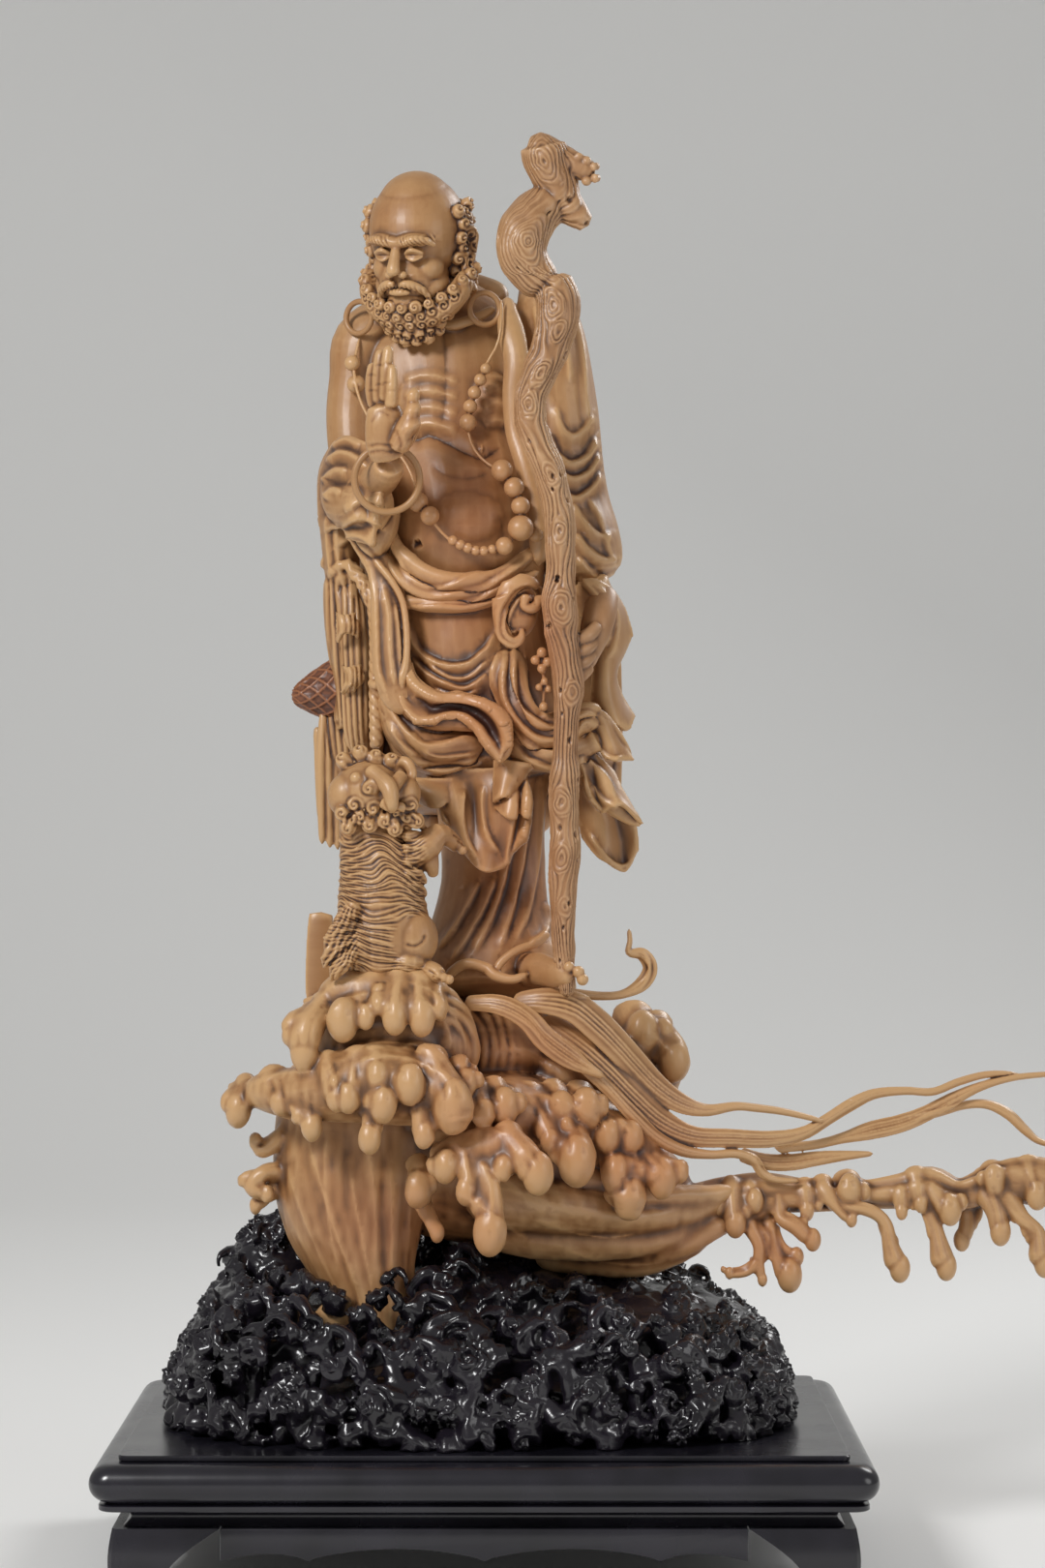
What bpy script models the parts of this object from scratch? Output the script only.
"""A boxwood carving of a standing monk on breaking waves, on a dark rock base and a moulded plinth.

The carving is one piece of boxwood: monk, robe, staff, lion, wave and reed leaves. A loose bracelet
hangs on the raised wrist. The rock base is a carving of its own, and the plinth is joined from a
moulded board, a waist, four aprons and four feet.
"""

import functools
import math

import bmesh
import bpy
import numpy as np
from mathutils import Matrix, Vector

# Overall frame, in metres: +Z up, the front faces -Y, the origin lies on the ground under the middle
MM = 0.001
PIECE_GAP = 0.0003

# Plinth, in metres
PLINTH_HEIGHT = 0.075
PLINTH_CENTRE = -0.0185  # measured from the line of sight through the monk
BOARD_WIDTH = 0.382
BOARD_DEPTH = 0.270
BOARD_CORNER = 0.010
BOARD_THICKNESS = 0.0256
BOARD_LIP = 0.0030
BOARD_LIP_INSET = 0.0135
BOARD_FILLET_INSET = 0.0045
BOARD_ROUND_REACH = 0.0095
BOARD_ROUND_STEPS = 8
WAIST_INSET = 0.016
WAIST_HEIGHT = 0.0085
APRON_INSET = 0.011
APRON_HEIGHT = 0.016
APRON_THICKNESS = 0.014
APRON_LOBE = 0.006
APRON_STEPS = 24
FOOT_SIZE = 0.052
FOOT_ANKLE = 0.024
FOOT_KNEE = 0.002
FOOT_TOE = 0.004
FOOT_STEPS = 6

# Rock base, in metres
ROCK_CENTRE = -0.0215  # measured from the same line of sight
ROCK_WIDTH = 0.322
ROCK_DEPTH = 0.226
ROCK_HEIGHT = 0.094
ROCK_LUMP = 0.0160
ROCK_SQUARENESS = 2.8
ROCK_STREAMS = 11
ROCK_SEED = 7
SEAT_RISE = 0.040  # how far above the plinth the foot of the wave stands
SEAT_CLEARANCE = 0.0030

# Masses of the rock as shares of its half width, height and half depth: place, then half sizes
ROCK_MASSES = (
    (-0.02, 0.14, 0.00, 0.94, 0.34, 0.88), (0.42, 0.40, 0.00, 0.50, 0.34, 0.62),
    (0.02, 0.50, 0.02, 0.46, 0.34, 0.60), (-0.45, 0.36, 0.05, 0.46, 0.34, 0.66),
    (-0.66, 0.62, 0.22, 0.18, 0.42, 0.30), (-0.78, 0.42, 0.00, 0.14, 0.32, 0.44),
)
# Rows of lumps: rise and spread as shares of the height and the half sizes, and how many
ROCK_TIERS = ((0.08, 1.00, 22), (0.28, 0.96, 20), (0.47, 0.87, 17), (0.61, 0.68, 12), (0.70, 0.40, 7))

# Loose rings, in metres
BRACELET_RADIUS = 0.0165
BRACELET_WIRE = 0.0018
EARRING_RADIUS = 0.0084
EARRING_WIRE = 0.0015

# The carving is laid out in millimetres as it is seen from the front: x to the right, z up, y away.
# Things nearer the eye look larger, so the finished shape is drawn in by perspective.
EYE_DISTANCE = 1900.0
EYE_HEIGHT = 400.0
LAYOUT_PLINTH = 75.0  # level of the plinth's top in the layout, so that the carving stands on the plinth
LEAF_THICKNESS = 3.2
BEAD_LARGE = 5.6
BEAD_SMALL = 2.6
CORD_RADIUS = 1.4
STAFF_GIRTH = 8.4
CURL_RADIUS = 3.4
BEARD_ROWS = 3
DROP_FULLNESS = 1.15
LINE_SHARPNESS = 1.3
BACK_FOLDS = 8
BACK_FOLD_WIDTH = 7.0
BACK_FOLD_HEIGHT = 5.0
FLOW_HEIGHT = 3.0

# Fineness of the skin: the voxel in millimetres, and how many triangles the finished skin keeps
CARVING_VOXEL = 2.0
CARVING_TRIANGLES = 7800
ROCK_VOXEL = 3.2
ROCK_TRIANGLES = 1500
ROOM_TRIANGLES = 1500
SMOOTH_PASSES = 1
# Places of the layout that keep more of their detail: x, z, radius and weight
FINE_FACTOR = 150.0
FINE_PLACES = ((-55, 676, 40, 0.5), (-70, 598, 28, 0.4), (-10, 545, 40, 0.1), (-75, 398, 24, 0.2))


def clear_scene():
    for item in list(bpy.data.objects):
        bpy.data.objects.remove(item, do_unlink=True)


def material(name, colour, roughness):
    made = bpy.data.materials.new(name)
    made.use_nodes = True
    shader = made.node_tree.nodes["Principled BSDF"]
    shader.inputs["Base Color"].default_value = (*colour, 1.0)
    shader.inputs["Roughness"].default_value = roughness
    shader.inputs["Metallic"].default_value = 0.0
    return made


def smooth_path(points, count):
    """Evenly spaced stations on a Catmull-Rom curve through points of any number of columns."""
    p = np.array(points, float)
    if len(p) == 2:
        t = np.linspace(0, 1, count)[:, None]
        return p[0] * (1 - t) + p[1] * t
    ends = np.vstack([2 * p[0] - p[1], p, 2 * p[-1] - p[-2]])
    t = np.linspace(0, 1, 12, endpoint=False)[:, None]
    spans = []
    for a, b, c, d in zip(ends, ends[1:], ends[2:], ends[3:]):
        square, cube = 2 * a - 5 * b + 4 * c - d, 3 * b - a - 3 * c + d
        spans.append(0.5 * (2 * b + (c - a) * t + square * t**2 + cube * t**3))
    fine = np.vstack([*spans, p[-1:]])
    step = np.linalg.norm(np.diff(fine[:, :3], axis=0), axis=1)
    along = np.concatenate([[0], np.cumsum(step)])
    wanted = np.linspace(0, along[-1], count)
    return np.stack([np.interp(wanted, along, fine[:, k]) for k in range(fine.shape[1])], axis=1)


@functools.lru_cache(maxsize=None)
def unit_sphere(sides, rings):
    """Points and faces of a sphere of radius 1, made once for each fineness."""
    bm = bmesh.new()
    bmesh.ops.create_uvsphere(bm, u_segments=sides, v_segments=rings, radius=1.0)
    bm.verts.index_update()
    points = np.array([vert.co for vert in bm.verts])
    faces = [[vert.index for vert in face.verts] for face in bm.faces]
    bm.free()
    return points, faces


def sweep(forms, path, flat=1.0, sides=10, rings=None, turn=0.0, cap=0.12, place=None):
    """A closed limb along a path of (x, z, y, radius) or (x, z, y, radius, flat).

    It is a sphere whose rings are carried along the path. flat is the depth over the width seen
    from the front, turn rolls the section in degrees, and cap is the share of the length that rounds
    off at each end.
    """
    rows = [(p[0], p[2], p[1], p[3], p[4] if len(p) > 4 else flat) for p in path]
    length = sum(math.dist(a[:3], b[:3]) for a, b in zip(rows, rows[1:]))
    if rings is None:
        rings = int(min(40, max(8, length / max(2.0, *(row[3] for row in rows)) * 2.5)))
    stations = smooth_path(rows, rings + 1)
    tangent = np.gradient(stations[:, :3], axis=0)
    tangent /= np.linalg.norm(tangent, axis=1, keepdims=True) + 1e-9
    wide = np.cross(tangent[0], (0, 1, 0))
    if np.linalg.norm(wide) < 0.3:
        wide = np.cross(tangent[0], (0, 0, 1))
    across = np.zeros((rings + 1, 3))
    for k in range(rings + 1):
        wide = wide - tangent[k] * (wide @ tangent[k])
        wide = wide / np.linalg.norm(wide)
        across[k] = wide
    deep = np.cross(across, tangent)
    angle = math.radians(turn)
    c, s = math.cos(angle), math.sin(angle)
    across, deep = across * c + deep * s, deep * c - across * s
    ball, faces = unit_sphere(sides, rings)
    share = np.arccos(np.clip(ball[:, 2], -1, 1)) / math.pi
    ring = np.rint(share * rings).astype(int)
    azimuth = np.arctan2(ball[:, 1], ball[:, 0])
    edge = np.minimum(share, 1 - share) / cap
    rounding = np.where(edge < 1, np.sqrt(np.clip(1 - (1 - edge) ** 2, 0, 1)), 1.0)
    size = stations[ring, 3] * rounding
    spots = stations[ring, :3] + across[ring] * (size * np.cos(azimuth))[:, None]
    spots += deep[ring] * (size * stations[ring, 4] * np.sin(azimuth))[:, None]
    if place is not None:
        spots = spots @ np.array(place.to_3x3()).T + np.array(place.translation)
    forms.append((spots, faces))


def blob(forms, x, z, y, rx, rz=None, ry=None, tilt=0.0, sides=12, rings=8, place=None):
    """An ellipsoid; tilt turns it in the plane seen from the front, in degrees."""
    turn = Matrix.Translation((x, y, z)) @ Matrix.Rotation(math.radians(tilt), 4, "Y")
    whole = (place or Matrix.Identity(4)) @ turn @ Matrix.Diagonal((rx, ry or rx, rz or rx, 1.0))
    ball, faces = unit_sphere(sides, rings)
    forms.append((ball @ np.array(whole.to_3x3()).T + np.array(whole.translation), faces))


def new_item(name, mesh):
    item = bpy.data.objects.new(name, mesh)
    bpy.context.scene.collection.objects.link(item)
    return item


def fused(name, forms, voxel, passes):
    """One closed skin over all the forms, smoothed, as a mesh of quads."""
    points, faces, start = [], [], 0
    for spots, sides in forms:
        points.append(spots)
        faces += [[start + k for k in face] for face in sides]
        start += len(spots)
    mesh = bpy.data.meshes.new(name)
    mesh.from_pydata(np.vstack(points), [], faces)
    item = new_item(name, mesh)
    skin = item.modifiers.new("Skin", "REMESH")
    skin.mode = "VOXEL"
    skin.voxel_size = voxel
    soften = item.modifiers.new("Soften", "SMOOTH")
    soften.factor = 0.5
    soften.iterations = passes
    apply_modifiers(item)
    return item


def apply_modifiers(item):
    shape = bpy.data.meshes.new_from_object(item.evaluated_get(bpy.context.evaluated_depsgraph_get()))
    item.modifiers.clear()
    item.data = shape


def largest_island(item):
    """Keeps the largest connected body of the mesh."""
    bm = bmesh.new()
    bm.from_mesh(item.data)
    left = set(bm.verts)
    islands = []
    while left:
        start = left.pop()
        found, front = [start], [start]
        while front:
            vert = front.pop()
            for edge in vert.link_edges:
                other = edge.other_vert(vert)
                if other in left:
                    left.remove(other)
                    found.append(other)
                    front.append(other)
        islands.append(found)
    islands.sort(key=len)
    for island in islands[:-1]:
        bmesh.ops.delete(bm, geom=island, context="VERTS")
    bm.to_mesh(item.data)
    bm.free()


def press_lines(item, lines, side=-1):
    """Raises or sinks the skin along lines of (x, z) on its front, or on its back where side is 1.

    Each line is (points, half_width, height, nearest_y, furthest_y).
    """
    mesh = item.data
    count = len(mesh.vertices)
    co = np.empty(count * 3)
    mesh.vertices.foreach_get("co", co)
    co = co.reshape(-1, 3)
    normal = np.empty(count * 3)
    mesh.vertices.foreach_get("normal", normal)
    normal = normal.reshape(-1, 3)
    facing = np.clip(side * normal[:, 1] * 2.0 + 0.4, 0, 1)
    shift = np.zeros(count)
    for points, half_width, height, near, far in lines:
        rows = smooth_path([(x, 0, z) for x, z in points], len(points) * 5)[:, [0, 2]]
        low, high = rows.min(0) - half_width, rows.max(0) + half_width
        pick = np.nonzero(
            (co[:, 0] > low[0]) & (co[:, 0] < high[0]) & (co[:, 2] > low[1]) & (co[:, 2] < high[1])
            & (co[:, 1] > near) & (co[:, 1] < far) & (facing > 0)
        )[0]
        if not len(pick):
            continue
        spots = co[pick][:, [0, 2]]
        best = np.full(len(pick), 1e9)
        for a, b in zip(rows, rows[1:]):
            d = b - a
            t = np.clip(((spots - a) @ d) / (d @ d + 1e-9), 0, 1)
            best = np.minimum(best, np.hypot(*(spots - a - t[:, None] * d).T))
        share = np.clip(1 - best / half_width, 0, 1)
        shift[pick] += height * share**LINE_SHARPNESS * facing[pick]
    co += normal * shift[:, None]
    mesh.vertices.foreach_set("co", co.ravel())
    mesh.update()


def thinned(item, triangles, fine_places=()):
    """Collapses edges where the skin is flattest, down to a number of triangles."""
    mesh = item.data
    mesh.calc_loop_triangles()
    less = item.modifiers.new("Thin", "DECIMATE")
    if fine_places:
        keep = item.vertex_groups.new(name="Keep")
        spots = np.array([vert.co for vert in mesh.vertices])
        weight = np.zeros(len(spots))
        for x, z, radius, share in fine_places:
            near = np.clip(1.4 - np.hypot(spots[:, 0] - x, spots[:, 2] - z) / radius, 0, 1)
            weight = np.maximum(weight, share * near)
        for level in range(1, 11):
            picked = np.nonzero(np.rint(weight * 10) == level)[0]
            keep.add([int(k) for k in picked], level / 10, "REPLACE")
        less.vertex_group = "Keep"
        less.invert_vertex_group = True
        less.vertex_group_factor = FINE_FACTOR
    less.ratio = min(1.0, triangles / len(mesh.loop_triangles))
    less.use_collapse_triangulate = True
    apply_modifiers(item)


def drawn_in(item):
    """Takes the layout seen from the front to the real shape in metres, by perspective."""
    mesh = item.data
    co = np.empty(len(mesh.vertices) * 3)
    mesh.vertices.foreach_get("co", co)
    co = co.reshape(-1, 3)
    near = 1 + co[:, 1] / EYE_DISTANCE
    co[:, 0] *= near
    co[:, 2] = EYE_HEIGHT + (co[:, 2] - EYE_HEIGHT) * near
    co *= MM
    co[:, 2] += PLINTH_HEIGHT - LAYOUT_PLINTH * MM
    mesh.vertices.foreach_set("co", co.ravel())
    mesh.update()


# The monk: bare chest and belly, raised right arm, head with beard and ears

HEAD_PLACE = (
    Matrix.Translation((-55.0, -22.0, 678.0)) @ Matrix.Rotation(math.radians(-24), 4, "Z")
    @ Matrix.Rotation(math.radians(9), 4, "X")
)


def model_head(forms):
    """The head in its own axes: the face looks along -Y, the eyes are level with the origin."""

    def part(path, **more):
        sweep(forms, path, place=HEAD_PLACE, **more)

    def ball(x, z, y, rx, rz=None, ry=None, **more):
        blob(forms, x, z, y, rx, rz, ry, place=HEAD_PLACE, **more)

    ball(0, 8, 4, 25, 29, 28, sides=16, rings=12)
    ball(0, 20, 3, 19, 18, 21)
    ball(0, -14, -6, 18, 17, 20)
    ball(0, -26, -14, 11, 8, 10)
    part([(-15, 6, -20, 3), (-8, 7.5, -25, 3.4), (0, 6, -26, 3), (8, 7.5, -25, 3.4), (15, 6, -20, 3)])
    part([(0, 4, -25, 2.6), (0, -3, -28.5, 3), (0, -9, -31, 3.8), (0, -12, -29, 3.4)], cap=0.2)
    for side in (-1, 1):
        ball(side * 8.5, -1, -22, 5, 3.4, 3.6)
        ball(side * 12, -9, -18, 6.5, 6, 6)
        ball(side * 3.4, -11.5, -27.5, 2.4, 2, 2.6)
        part([(side * 25, 6, 4, 3), (side * 28, 8, 7, 3.4), (side * 29, 2, 8, 3), (side * 27, -8, 5, 3),
              (side * 26, -18, 3, 3.2)], flat=0.7)
        part([(side * 1.5, -16.5, -27, 2), (side * 8, -18, -24, 2.2), (side * 13, -24, -19, 1.8)])
    part([(-7, -21, -22, 2), (0, -20.5, -25, 2.4), (7, -21, -22, 2)])
    part([(-27, -12, 4, 5), (-25, -23, -5, 7), (-15, -33, -13, 8), (0, -36, -16, 8),
          (15, -33, -13, 8), (25, -23, -5, 7), (27, -12, 4, 5)], rings=20)
    for row in range(BEARD_ROWS):
        curls = 11 - 2 * row
        for k in range(curls):
            turn = math.radians((2 * k / (curls - 1) - 1) * (88 - 12 * row))
            level = -25 - 5.5 * row - 6 * math.cos(turn) + 8 * abs(math.sin(turn)) ** 3
            reach = 24 - 2.5 * row
            ball(reach * 1.15 * math.sin(turn), level, 4 - reach * math.cos(turn), CURL_RADIUS,
                 sides=8, rings=6)
    for side in (-1, 1):
        for dz, dy in ((14, 6), (12, 14), (4, 15), (-5, 15), (-14, 14), (-20, 8), (17, 13), (8, 20),
                       (-2, 22), (-12, 21)):
            ball(side * (24.5 - max(0, dy - 12) * 0.7), dz, dy, CURL_RADIUS, sides=8, rings=6)
    ball(0, -10, 16, 19, 20, 14)


def model_body(forms):
    torso = [
        (-32, 500, -2, 42, 0.80), (-30, 520, -8, 43, 0.85), (-29, 537, -11, 42, 0.90),
        (-31, 553, -8, 41, 0.86), (-35, 570, -2, 42, 0.78), (-38, 590, 2, 43, 0.74),
        (-40, 610, 4, 45, 0.68), (-43, 628, 6, 44, 0.62), (-46, 642, 7, 34, 0.62),
        (-50, 655, 2, 21, 0.85), (-53, 668, -8, 17, 1.0),
    ]
    sweep(forms, torso, sides=20, rings=24, cap=0.05)
    blob(forms, -19, 596, -20, 15, 22, 10, tilt=8)
    blob(forms, -56, 598, -18, 14, 20, 9)
    blob(forms, -29, 537, -20, 32, 27, 31, sides=16, rings=12)
    arm = [(-66, 640, 6, 15), (-82, 628, 4, 16), (-86, 610, 1, 14), (-88, 590, -2, 13.5),
           (-87, 570, -8, 13), (-84, 556, -20, 12), (-77, 556, -45, 10.5), (-70, 562, -70, 8.5),
           (-69, 568, -78, 8)]
    sweep(forms, arm, sides=12, rings=22, cap=0.04)
    model_hand(forms)
    sweep(forms, [(40, 500, -30, 8), (38, 488, -40, 8.5), (35, 476, -46, 8), (32, 466, -48, 6)], sides=10)
    for k in range(4):
        sweep(forms, [(36 - 1.5 * k, 478 - 5 * k, -50, 3.4), (33 - 1.5 * k, 472 - 5 * k, -58, 3.6),
                      (28 - 1.5 * k, 467 - 5 * k, -60, 3.0)], sides=8)


def model_hand(forms):
    """The raised right hand: palm turned to the side, four fingers up, thumb apart."""
    sweep(forms, [(-69, 566, -80, 8), (-71, 576, -84, 9.5), (-71, 588, -86, 9.5), (-72, 598, -86, 7)],
          flat=0.75)
    fingers = (
        [(-76, 596, -80, 3.6), (-77.5, 607, -80, 3.3), (-77, 618, -80, 2.6)],
        [(-73.5, 597, -84, 3.7), (-74, 612, -85, 3.4), (-73, 624, -84, 2.6)],
        [(-70.5, 597, -88, 3.7), (-70, 613, -89, 3.4), (-69, 626, -88, 2.6)],
        [(-68, 594, -91, 3.5), (-67.5, 607, -92, 3.2), (-67.5, 617, -91, 2.5)],
    )
    for finger in fingers:
        sweep(forms, finger, sides=8, rings=8)
    sweep(forms, [(-66, 574, -88, 6), (-60, 582, -92, 6.5), (-57, 592, -93, 4.2), (-56, 604, -92, 3)],
          sides=8)


def model_necklace(forms):
    cord = [(-11, 652, -22), (-11, 638, -32), (-13, 627, -34), (-19, 616, -36), (-25, 600, -37),
            (-28, 585, -38), (-26, 575, -40), (-20, 567, -43), (-11, 561, -46), (-3, 550, -48),
            (-1, 536, -49), (-6, 525, -51), (-22, 521, -52), (-36, 525, -52), (-46, 535, -52),
            (-52, 545, -48), (-60, 565, -44), (-80, 590, -30), (-87, 612, -20), (-84, 632, -12)]
    sweep(forms, [(x, z, y, CORD_RADIUS) for x, z, y in cord], sides=6, rings=40, cap=0.02)
    beads = (
        (-19, 614.5, -36, 0.50), (-22, 608.5, -36.5, 0.56), (-25, 602, -37.5, 0.58),
        (-27, 595.5, -38, 0.58), (-28, 588, -38.5, 0.75), (-11, 562.5, -47, 1.0),
        (-4.5, 553, -48, 0.85), (-1, 544, -49, 0.80), (-1, 532.5, -50, 1.08), (-9, 522.5, -52, 0.85),
        (-47.5, 538, -50, 0.85), (-53, 546, -46, 0.75), (-87, 608, -18, 0.75), (-88, 616, -18, 0.62),
        (7, 528, -44, 0.65),
    )
    for x, z, y, share in beads:
        blob(forms, x, z, y, BEAD_LARGE * share, sides=10, rings=8)
    for x, z in ((-16, 521.5), (-20, 520.6), (-24, 520.8), (-27.5, 522), (-31, 523.4), (-35, 525.2)):
        blob(forms, x, z, -52, BEAD_SMALL, sides=8, rings=6)


# The robe: cloak over the left arm, sleeves, sash, skirt and the swung hems

def model_robe(forms):
    cloak = [(-2, 655, 10, 9), (8, 648, 8, 14), (13, 632, 5, 18), (16, 610, 2, 20),
             (19, 588, 0, 20.5), (21, 565, -1, 20.5), (25, 545, -3, 20), (29, 528, -5, 21),
             (32, 514, -6, 20), (34, 502, -6, 14)]
    sweep(forms, cloak, flat=1.15, sides=16, rings=24, cap=0.06)
    # tongues of the cloak's hem round the elbow
    for x, z, y, turn_out in ((50, 512, -14, 0), (46, 506, 6, -4), (34, 500, 18, -8), (20, 504, 20, -10)):
        tongue = [(x - 8, z + 34, y * 0.7, 5), (x - 2, z + 14, y * 0.9, 6.5), (x + turn_out, z, y, 4.5)]
        sweep(forms, tongue, rings=8)
    back = [(-42, 654, 16, 24), (-40, 638, 22, 44), (-38, 612, 26, 50), (-36, 570, 27, 52),
            (-32, 530, 27, 54), (-30, 490, 27, 54), (-28, 450, 26, 56), (-26, 420, 24, 58),
            (-24, 398, 22, 54), (-22, 384, 20, 46)]
    sweep(forms, back, flat=0.42, sides=24, rings=24, cap=0.06)
    sweep(forms, [(-78, 640, 12, 7), (-66, 652, 24, 8), (-48, 658, 28, 8.5), (-28, 656, 26, 8.5),
                  (-8, 650, 14, 8)], rings=16)
    for k in range(BACK_FOLDS):
        share = (k + 0.5) / BACK_FOLDS - 0.5
        drop = 6 * (k % 2)
        sweep(forms, [(-27 + 100 * share, 420, 32, 9), (-26 + 106 * share, 396, 33, 9),
                      (-25 + 110 * share, 374 + drop, 30, 6)], rings=10)
    lapel = [(-8, 652, -10, 5), (-7, 635, -24, 6), (-4, 618, -30, 6), (-5, 600, -32, 5.5),
             (-4, 582, -34, 5), (1, 566, -38, 5.5), (6, 548, -40, 6), (9, 528, -42, 6),
             (8, 512, -42, 6)]
    sweep(forms, lapel, sides=8, rings=20)
    skirt = [(-32, 508, -4, 42, 0.86), (-30, 490, -4, 41, 0.9), (-27, 470, -4, 42, 0.92),
             (-24, 450, -3, 46, 0.88), (-20, 430, -1, 50, 0.82), (-18, 414, 2, 46, 0.8),
             (-16, 400, 4, 34, 0.8)]
    sweep(forms, skirt, sides=20, rings=16, cap=0.08)
    inner = [(-17, 420, 4, 33, 0.8), (-16, 385, 6, 28, 0.85), (-15, 350, 5, 27, 0.85),
             (-16, 325, 2, 32, 0.8), (-16, 308, -2, 40, 0.75), (-16, 294, -4, 44, 0.75),
             (-16, 286, -6, 40, 0.75)]
    sweep(forms, inner, sides=18, rings=16, cap=0.06)
    # right sleeve of the robe on the raised arm, and the edge that falls from it
    sweep(forms, [(-86, 578, -2, 9), (-93, 562, -4, 12), (-94, 545, -5, 12), (-94, 525, -4, 10),
                  (-93, 508, -4, 9), (-92, 495, -4, 8)], flat=1.6)
    sweep(forms, [(-92, 560, -10, 12), (-88, 548, -28, 16), (-80, 545, -48, 14), (-76, 546, -58, 11)],
          sides=12)
    sweep(forms, [(-70, 545, -40, 8), (-74, 530, -38, 9), (-82, 520, -34, 9)], sides=8)
    stole = [(-88, 540, -28, 5), (-84, 528, -32, 6), (-77, 518, -36, 7), (-70, 506, -38, 8),
             (-69, 490, -40, 9), (-68, 470, -42, 9.5), (-65, 450, -44, 10), (-58, 436, -46, 9)]
    sweep(forms, stole, flat=0.6, sides=10, rings=20)
    # swung hem in the middle, its lip and the tongue that hangs from it
    sweep(forms, [(-66, 462, -36, 8), (-60, 446, -42, 9), (-48, 437, -46, 9), (-34, 436, -48, 9),
                  (-22, 434, -50, 8), (-14, 426, -52, 6.5), (-11, 416, -52, 5), (-11, 411, -51, 2)],
          flat=0.7, rings=24)
    sweep(forms, [(-70, 450, -30, 8), (-62, 430, -36, 10), (-48, 420, -40, 10), (-32, 420, -40, 9),
                  (-20, 422, -38, 7)], rings=18)
    sweep(forms, [(-68, 436, -24, 8), (-58, 420, -30, 9), (-44, 413, -34, 8), (-30, 414, -34, 7),
                  (-18, 416, -30, 6)], rings=18)
    # U folds below the staff hand
    for inset, low in ((0, 424), (6, 431)):
        sweep(forms, [(-10 + inset, 470, -38, 5), (-9 + inset, 452, -42, 5.5),
                      (-3 + inset, 437, -46, 5.5), (9, low, -48, 5.5),
                   (22, low + 3, -48, 5), (32, low + 7, -46, 4.5), (41, low + 8, -42, 4)], rings=22)
    sweep(forms, [(-8, 424, -40, 6), (4, 415, -42, 7), (20, 415, -44, 7), (32, 419, -44, 6),
                  (40, 426, -40, 5)], rings=18)
    # hems that stream to the right
    sweep(forms, [(38, 436, -40, 5), (45, 427, -40, 5), (51, 419, -38, 4), (56, 412.5, -36, 2)],
          flat=0.6)
    sweep(forms, [(30, 416, -38, 8), (38, 406, -38, 7), (42, 396, -38, 7), (48, 389, -38, 6),
                  (57, 382, -36, 4), (61, 378, -34, 1.6)],
          flat=0.6, rings=16)
    sweep(forms, [(34, 390, -10, 7), (40, 374, -10, 9), (50, 363, -12, 9), (57, 366, -14, 5),
                  (60, 378, -14, 3)], flat=0.5, rings=14)
    sweep(forms, [(28, 420, -6, 20), (32, 402, -6, 15), (36, 388, -6, 11), (40, 376, -8, 8)], flat=1.3)
    # hanging end of the left sleeve
    sweep(forms, [(34, 503, -26, 9), (44, 496, -22, 7), (49, 484, -20, 5.5), (48, 470, -20, 5),
                  (43, 458, -20, 5), (47, 446, -20, 5), (53, 437, -22, 4.5), (54, 430, -22, 3)],
          flat=1.5, rings=24)
    sweep(forms, [(34, 470, -8, 12), (34, 452, -8, 11), (36, 436, -10, 10), (36, 420, -10, 12)],
          flat=1.6)
    # knotted sash end beside the staff
    sweep(forms, [(4, 497, -52, 4), (-3, 500, -54, 4.5), (-9, 494, -54, 5), (-11, 485, -54, 5),
                  (-8, 476, -54, 4.5), (-2, 474, -54, 4), (0, 480, -54, 3)], rings=20)
    # centre flap and its knot
    sweep(forms, [(-5, 412, -38, 7), (-9, 402, -40, 5), (-11, 392, -40, 5), (-6, 386, -40, 5),
                  (0, 392, -40, 4)], flat=0.7)
    sweep(forms, [(-22, 402, -34, 9), (-24, 385, -36, 10), (-22, 370, -38, 10), (-19, 361, -38, 8),
                  (-18, 356, -38, 3)],
          flat=0.5, rings=14)
    sweep(forms, [(-12, 378, -36, 9), (-6, 370, -38, 8), (-4, 364, -38, 5)], flat=0.5)
    # shoe, and the rolled hem round it
    sweep(forms, [(-2, 304, -20, 8), (8, 304, -40, 9), (18, 302, -54, 7), (26, 301, -62, 5)], flat=0.8)
    blob(forms, 29, 303, -62, 3.4)
    blob(forms, 31, 299, -62, 3.4)
    sweep(forms, [(-40, 300, -34, 3), (-30, 307, -40, 4), (-19, 305, -42, 4), (-14, 301, -44, 4),
                  (-5, 299, -46, 3.5), (3, 302, -46, 3)],
          rings=18)
    # hat on the hip, the cords that hold it and the hanging back hem
    sweep(forms, [(-84, 449, 4, 18), (-92, 448, 2, 18.5), (-103, 447, 0, 13.5), (-112, 446, -2, 8),
                  (-119, 445, -3, 3.5)],
          rings=12, cap=0.1, sides=14)
    sweep(forms, [(-88, 512, -18, 5), (-82, 498, -24, 5.5), (-79, 480, -28, 5), (-77, 460, -30, 5),
                  (-76, 440, -32, 4.5), (-76, 418, -36, 4)], rings=16)
    sweep(forms, [(-96, 512, -6, 7), (-95, 490, -6, 8), (-92, 470, -6, 9), (-88, 450, -8, 10),
                  (-86, 425, -10, 12)], flat=1.4)
    sweep(forms, [(-88, 425, 10, 17), (-90, 400, 12, 16), (-93, 382, 12, 11), (-96, 370, 12, 5)],
          flat=1.2)


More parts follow.
